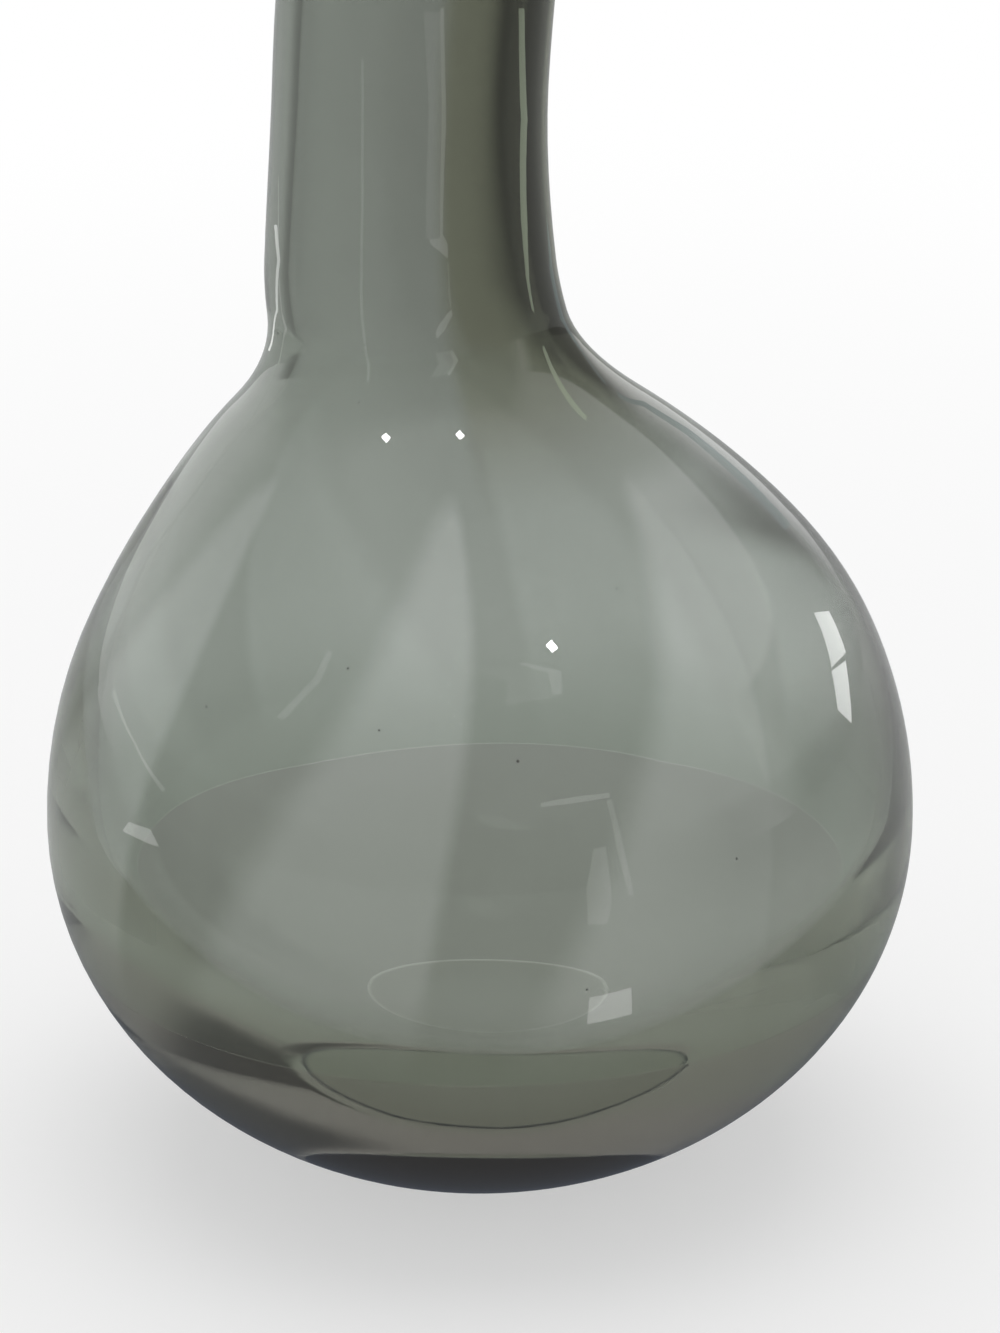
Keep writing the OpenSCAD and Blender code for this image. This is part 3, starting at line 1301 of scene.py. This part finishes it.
@dataclass
class Studio:
    """A plain pale floor, soft light and a camera where the photograph was taken from.

    The floor is pale to the eye. In the glass its tone goes by the ray that meets it and by the place, and
    near and under the vase it carries painted shadow: radii are in metres from the vase's axis, and angles
    in degrees to the right from straight behind the vase.
    """

    floor_r: float = 3.0
    floor_sides: int = 96
    floor_drop: float = 0.2 * MM
    floor_tone: float = 0.92
    floor_glow: float = 0.5
    white_r: Span = (0.15, 0.9)
    # Painted shadow: the floor's tones round the vase as the glass sees it.
    mirrored_painted_shadow: Colour = (0.07, 0.08, 0.1)
    through_painted_shadow: Colour = (0.7, 0.73, 0.68)
    tone_through: Colour = (0.95, 0.95, 0.95)
    tone_mirrored: Colour = (0.5, 0.51, 0.51)
    tone_aside: Colour = (0.13, 0.13, 0.11)
    # Painted shadow: the floor's tones under the vase's foot and pontil as the glass sees it.
    foot_painted_shadow: Colour = (0.06, 0.055, 0.048)
    pontil_painted_shade: Colour = (0.37, 0.385, 0.35)
    trapped_painted_shade: Colour = (0.33, 0.352, 0.3)
    past_r: Span = (0.35, 0.5)
    past_from: Span = (4.0, 14.0)
    dark_from: Span = (18.0, 36.0)
    dark_to: Span = (115.0, 150.0)
    left_from: Span = (35.0, 55.0)
    left_share: float = 0.6
    mirror_share: float = 0.25
    pontil_r: Span = (0.0265, 0.0285)
    foot_r: Span = (0.035, 0.055)
    mirror_r: Span = (0.05, 0.2)
    clear_r: Span = (0.05, 0.3)
    plain_light: float = 0.6
    lamp_place: Place = (0.0, 0.2, 1.6)
    lamp_size: float = 1.6
    lamp_power: float = 12.0
    elevation: float = 20.0
    distance: float = 0.75
    aim: Place = (3.69 * MM, 0.0, 92.1 * MM)
    lens: float = 110.43
    sensor: float = 36.0
    near: float = 0.01
    bounces: int = 100

    def rays(self, bench: Bench) -> tuple[Signal, ...]:
        """Tells the rays on the stage apart.

        Args:
            bench: Bench of a finish on the stage.

        Returns:
            Whether a ray comes from the eye, is mirrored by glass, came through glass, crossed the hollow
            too, or was trapped in the wall for a while.
        """
        path = bench.node("LightPath")
        kinds = ("Is Camera Ray", "Is Glossy Ray", "Is Transmission Ray")
        told = [Signal(bench, path.outputs[name]) for name in (*kinds, "Transmission Depth", "Glossy Depth")]
        return *told[:3], told[3].over(2), told[4].over(1)

    def open_sky(self) -> None:
        """Makes the world white to the eye and in the glass, and a plain light otherwise."""
        world = bpy.data.worlds.new("studio")
        bpy.context.scene.world = world
        bench = Bench(world)
        lights = [
            bench.node("Background", sockets={"Color": solid(WHITE), "Strength": strength})
            for strength in (self.plain_light, 1.0)
        ]
        eye, mirrored, through = self.rays(bench)[:3]
        bench.finish(bench.mix((eye + mirrored + through).least(1.0), *lights))

    def darker(self, x: Signal, y: Signal, away: Signal) -> Signal:
        """Marks the darker floor that the photographed room had to both sides of the vase.

        Args:
            x: Distance to the right of the axis.
            y: Distance behind the axis.
            away: Distance from the axis.

        Returns:
            The share of darker floor.
        """
        right_by = x.angle_to(y)
        left_by = -right_by
        past = away.eased(*self.past_r) * right_by.eased(*self.past_from)
        right = past.most(right_by.eased(*self.dark_from)) * (1.0 - right_by.eased(*self.dark_to))
        left = left_by.between(self.left_from, self.dark_to)
        return right.most(left * self.left_share)

    def floor_colour(self, bench: Bench, away: Signal, darker: Signal, rays: Sequence[Signal]) -> Signal:
        """Colours the floor by the ray that meets it, with painted shadow round and under the vase for the
        glass.

        Args:
            bench: Bench of the floor's finish.
            away: Distance from the axis.
            darker: Share of darker floor.
            rays: The rays that are told apart.

        Returns:
            The colour.
        """
        eye, _, through, hollow, trapped = rays
        # Painted shadow: the floor darkens round the vase and under its foot.
        beyond = away.eased(*self.pontil_r)
        behind = bench.blend(darker, self.tone_through, self.tone_aside)
        shade = bench.blend(away.eased(*self.clear_r), self.through_painted_shadow, behind)
        shade = bench.blend(beyond, self.pontil_painted_shade, shade)
        foot = (1.0 - away.eased(*self.foot_r)) * (1.0 - hollow)
        seen_through = bench.blend(foot, shade, self.foot_painted_shadow)
        mirror = bench.blend(darker * self.mirror_share, self.tone_mirrored, self.tone_aside)
        mirror = bench.blend(away.eased(*self.mirror_r), self.mirrored_painted_shadow, mirror)
        standing = bench.blend(trapped, self.foot_painted_shadow, self.trapped_painted_shade)
        seen_mirrored = bench.blend(beyond, standing, mirror)
        return bench.blend(eye, bench.blend(through, seen_mirrored, seen_through), WHITE)

    def lay_floor(self) -> None:
        """Lays the floor, which keeps the vase's shadow and turns white far from it."""
        bpy.ops.object.select_all(action="DESELECT")
        bpy.ops.mesh.primitive_circle_add(vertices=self.floor_sides, radius=self.floor_r, fill_type="NGON")
        floor = bpy.context.active_object
        floor.name = "floor"
        bpy.ops.transform.translate(value=(0.0, 0.0, -self.floor_drop))
        bpy.ops.object.transform_apply(location=True)
        bench = Bench.material("pale floor")
        matt = bench.node("BsdfDiffuse", sockets={"Color": solid([self.floor_tone] * 3)})
        x, y, _ = bench.axes(bench.place())
        away = (x * x + y * y) ** 0.5
        rays = self.rays(bench)
        shown = self.floor_colour(bench, away, self.darker(x, y, away), rays)
        glow = bench.node("Emission", sockets={"Color": shown, "Strength": 1.0})
        glow_share = away.eased(*self.white_r) * (1.0 - self.floor_glow) + self.floor_glow
        material = bench.finish(bench.mix((rays[0] * glow_share + rays[1] + rays[2]).least(1.0), matt, glow))
        material.cycles.emission_sampling = "NONE"
        floor.data.materials.append(material)

    def hang_lamp(self) -> None:
        """Hangs one soft lamp that looks at the vase."""
        bpy.ops.object.light_add(type="AREA", location=self.lamp_place)
        lamp = bpy.context.active_object
        lamp.name = "top light"
        lamp.data.shape = "RECTANGLE"
        lamp.data.size = self.lamp_size
        lamp.data.size_y = self.lamp_size
        lamp.data.energy = self.lamp_power
        aim = Vector(self.aim) - Vector(self.lamp_place)
        lamp.rotation_euler = aim.to_track_quat("-Z", "Y").to_euler()
        hide(lamp, "camera", "glossy", "transmission")

    def set_camera(self) -> None:
        """Stands the camera where the photograph was taken from."""
        rise = math.radians(self.elevation)
        back = Vector((0.0, -math.cos(rise), math.sin(rise)))
        bpy.ops.object.camera_add(location=Vector(self.aim) + back * self.distance)
        camera = bpy.context.active_object
        camera.name = "camera"
        camera.rotation_euler = (-back).to_track_quat("-Z", "Y").to_euler()
        camera.data.lens = self.lens
        camera.data.sensor_width = self.sensor
        camera.data.sensor_fit = "AUTO"
        camera.data.clip_start = self.near
        bpy.context.scene.camera = camera

    def build(self) -> None:
        """Builds the studio."""
        self.open_sky()
        self.lay_floor()
        for card in CARDS:
            card.hang()
        for wall in WALLS:
            wall.build()
        self.hang_lamp()
        self.set_camera()
        scene = bpy.context.scene
        scene.view_settings.view_transform = "Standard"
        for kind in ("max", "transmission", "glossy", "transparent_max"):
            setattr(scene.cycles, kind + "_bounces", self.bounces)


def main() -> None:
    """Builds the vase and the studio round it."""
    logging.basicConfig(level=logging.INFO, format="%(name)s: %(message)s")
    form = VaseForm()
    layers = (
        (ClearBubble(form), "clear_bubble", "clear_glass"),
        (SmokeCasing(form), "smoke_casing", "smoke_glass"),
        (BaseHeel(form), "base_heel", "base_glass"),
    )
    for layer, node, slot in layers:
        piece = layer.blow()
        layer.dress(piece)
        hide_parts(node)
        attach(piece, "root")
        fused = sum(1 for f in piece.data.attributes["fused"].data if f.value > 0.5)
        log.info("%s: %d faces, %d of them fused", piece.name, len(piece.data.polygons), fused)
    Studio().build()


if __name__ == "__main__":
    main()
